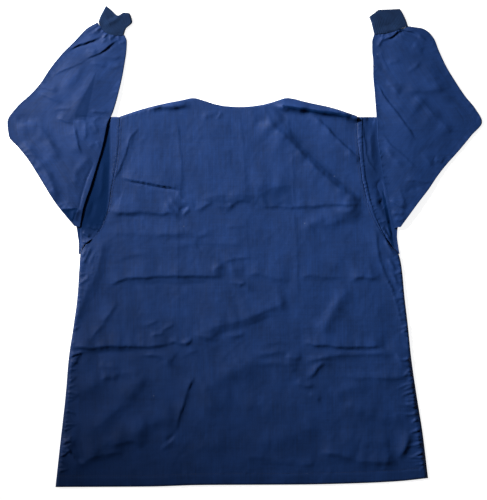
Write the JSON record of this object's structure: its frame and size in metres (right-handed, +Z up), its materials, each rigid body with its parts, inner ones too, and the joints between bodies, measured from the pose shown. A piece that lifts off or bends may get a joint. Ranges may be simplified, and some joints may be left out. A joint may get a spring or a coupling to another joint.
{
  "type": "medical scrub top",
  "caption": "Long-sleeved medical scrub top with rib-knit cuffs, laid out flat on its front with both arms folded up beside the neck.",
  "frame": {"origin": "on the surface the garment lies on, under the middle of its outline", "axes": "+Z up, away from the surface; +Y along the body from the hem to the neck; +X to the wearer's right"},
  "size_m": [0.9496, 0.962, 0.0107],
  "materials": {
    "poplin": "plain-woven navy poly-cotton poplin, soft, with a faint sheen",
    "rib_knit": "one-by-one rib knit in navy, matt"
  },
  "bodies": {
    "root": {"front": "poplin", "back": "poplin", "sleeve_left": "poplin", "sleeve_right": "poplin", "sleeve_left_tuck": "poplin", "sleeve_right_tuck": "poplin", "cuff_left": "rib_knit", "cuff_right": "rib_knit"}
  },
  "joints": []
}
